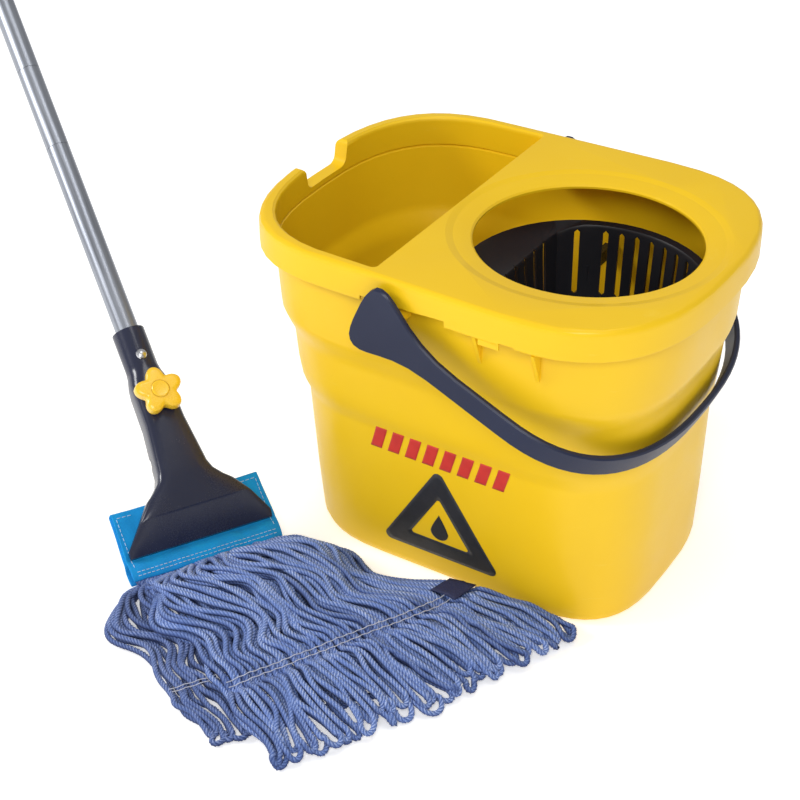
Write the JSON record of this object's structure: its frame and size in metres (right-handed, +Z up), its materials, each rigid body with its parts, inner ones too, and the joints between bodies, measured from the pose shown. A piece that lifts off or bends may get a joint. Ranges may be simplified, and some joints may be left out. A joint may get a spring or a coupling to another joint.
{
  "type": "mop and bucket with wringer",
  "caption": "Oblong mop bucket with a half deck over a wringer cup, a swinging bail, and a looped yarn mop held by a screw clamp on a straight pole.",
  "frame": {"origin": "centre of the bucket's base, on the floor", "axes": "+Z up, +X towards the wringer end of the bucket, -Y the side the mop lies on"},
  "size_m": [1.1414, 0.6342, 0.7493],
  "materials": {
    "yellow_plastic": "moulded satin gloss, bright yellow",
    "black_plastic": "moulded, fine texture, near black",
    "navy_plastic": "moulded satin gloss, dark navy",
    "knob_plastic": "moulded gloss, yellow",
    "zinc_steel": "zinc plated",
    "brushed_aluminium": "drawn and anodised, satin",
    "headband_cloth": "stitched woven cloth, bright blue",
    "denim_yarn": "twisted cotton yarn, denim blue"
  },
  "bodies": {
    "bucket": {"tub": "yellow_plastic", "top_frame": "yellow_plastic", "wringer_cup": "black_plastic"},
    "bail": {"bail_handle": "navy_plastic", "bail_pin_near": "navy_plastic", "bail_pin_far": "navy_plastic"},
    "mop": {"clamp_body": "navy_plastic", "jaw_pivot_screw": "zinc_steel", "jaw_pivot_nut": "zinc_steel", "socket_rivet": "zinc_steel", "captive_nut": "zinc_steel", "pole_lower": "brushed_aluminium", "pole_coupler": "brushed_aluminium", "pole_upper": "brushed_aluminium", "pole_grip": "navy_plastic", "pole_cap": "navy_plastic"},
    "mop_head": {"headband": "headband_cloth", "yarn_upper": "denim_yarn", "yarn_lower": "denim_yarn"},
    "screw_carrier": {"thrust_washer": "zinc_steel"},
    "knob": {"star_knob": "knob_plastic", "knob_cap": "knob_plastic", "clamp_screw": "zinc_steel"},
    "jaw": {"rear_jaw": "navy_plastic"}
  },
  "joints": [
    {"name": "bail_swing", "type": "hinge", "parent": "bucket", "child": "bail", "pos_m": [-0.006, 0, 0.253], "axis": [0, -1, 0], "range_deg": [0, 236]},
    {"name": "mop_lift", "type": "slide", "parent": "bucket", "child": "mop", "axis": [0, -0.5, 0.866], "range_m": [0, 0.35]},
    {"name": "head_slide", "type": "slide", "parent": "mop", "child": "mop_head", "axis": [-0.5045, -0.8634, 0], "range_m": [0, 0.14]},
    {"name": "screw_travel", "type": "slide", "parent": "mop", "child": "screw_carrier", "axis": [0.5256, -0.3071, 0.7934], "range_m": [0, 0.006]},
    {"name": "knob_turn", "type": "hinge", "parent": "screw_carrier", "child": "knob", "pos_m": [-0.2327, -0.13826, 0.10566], "axis": [0.5256, -0.3071, 0.7934], "range_deg": [0, 1440]},
    {"name": "rear_jaw_open", "type": "hinge", "parent": "mop", "child": "jaw", "pos_m": [-0.20403, -0.15502, 0.0701], "axis": [0.5045, 0.8634, 0], "range_deg": [0, 6.5]}
  ],
  "couplings": [
    {"joint": "knob_turn", "follows": "screw_travel", "rad_per_m": 4188.6},
    {"joint": "rear_jaw_open", "follows": "screw_travel", "rad_per_m": 18.906}
  ]
}
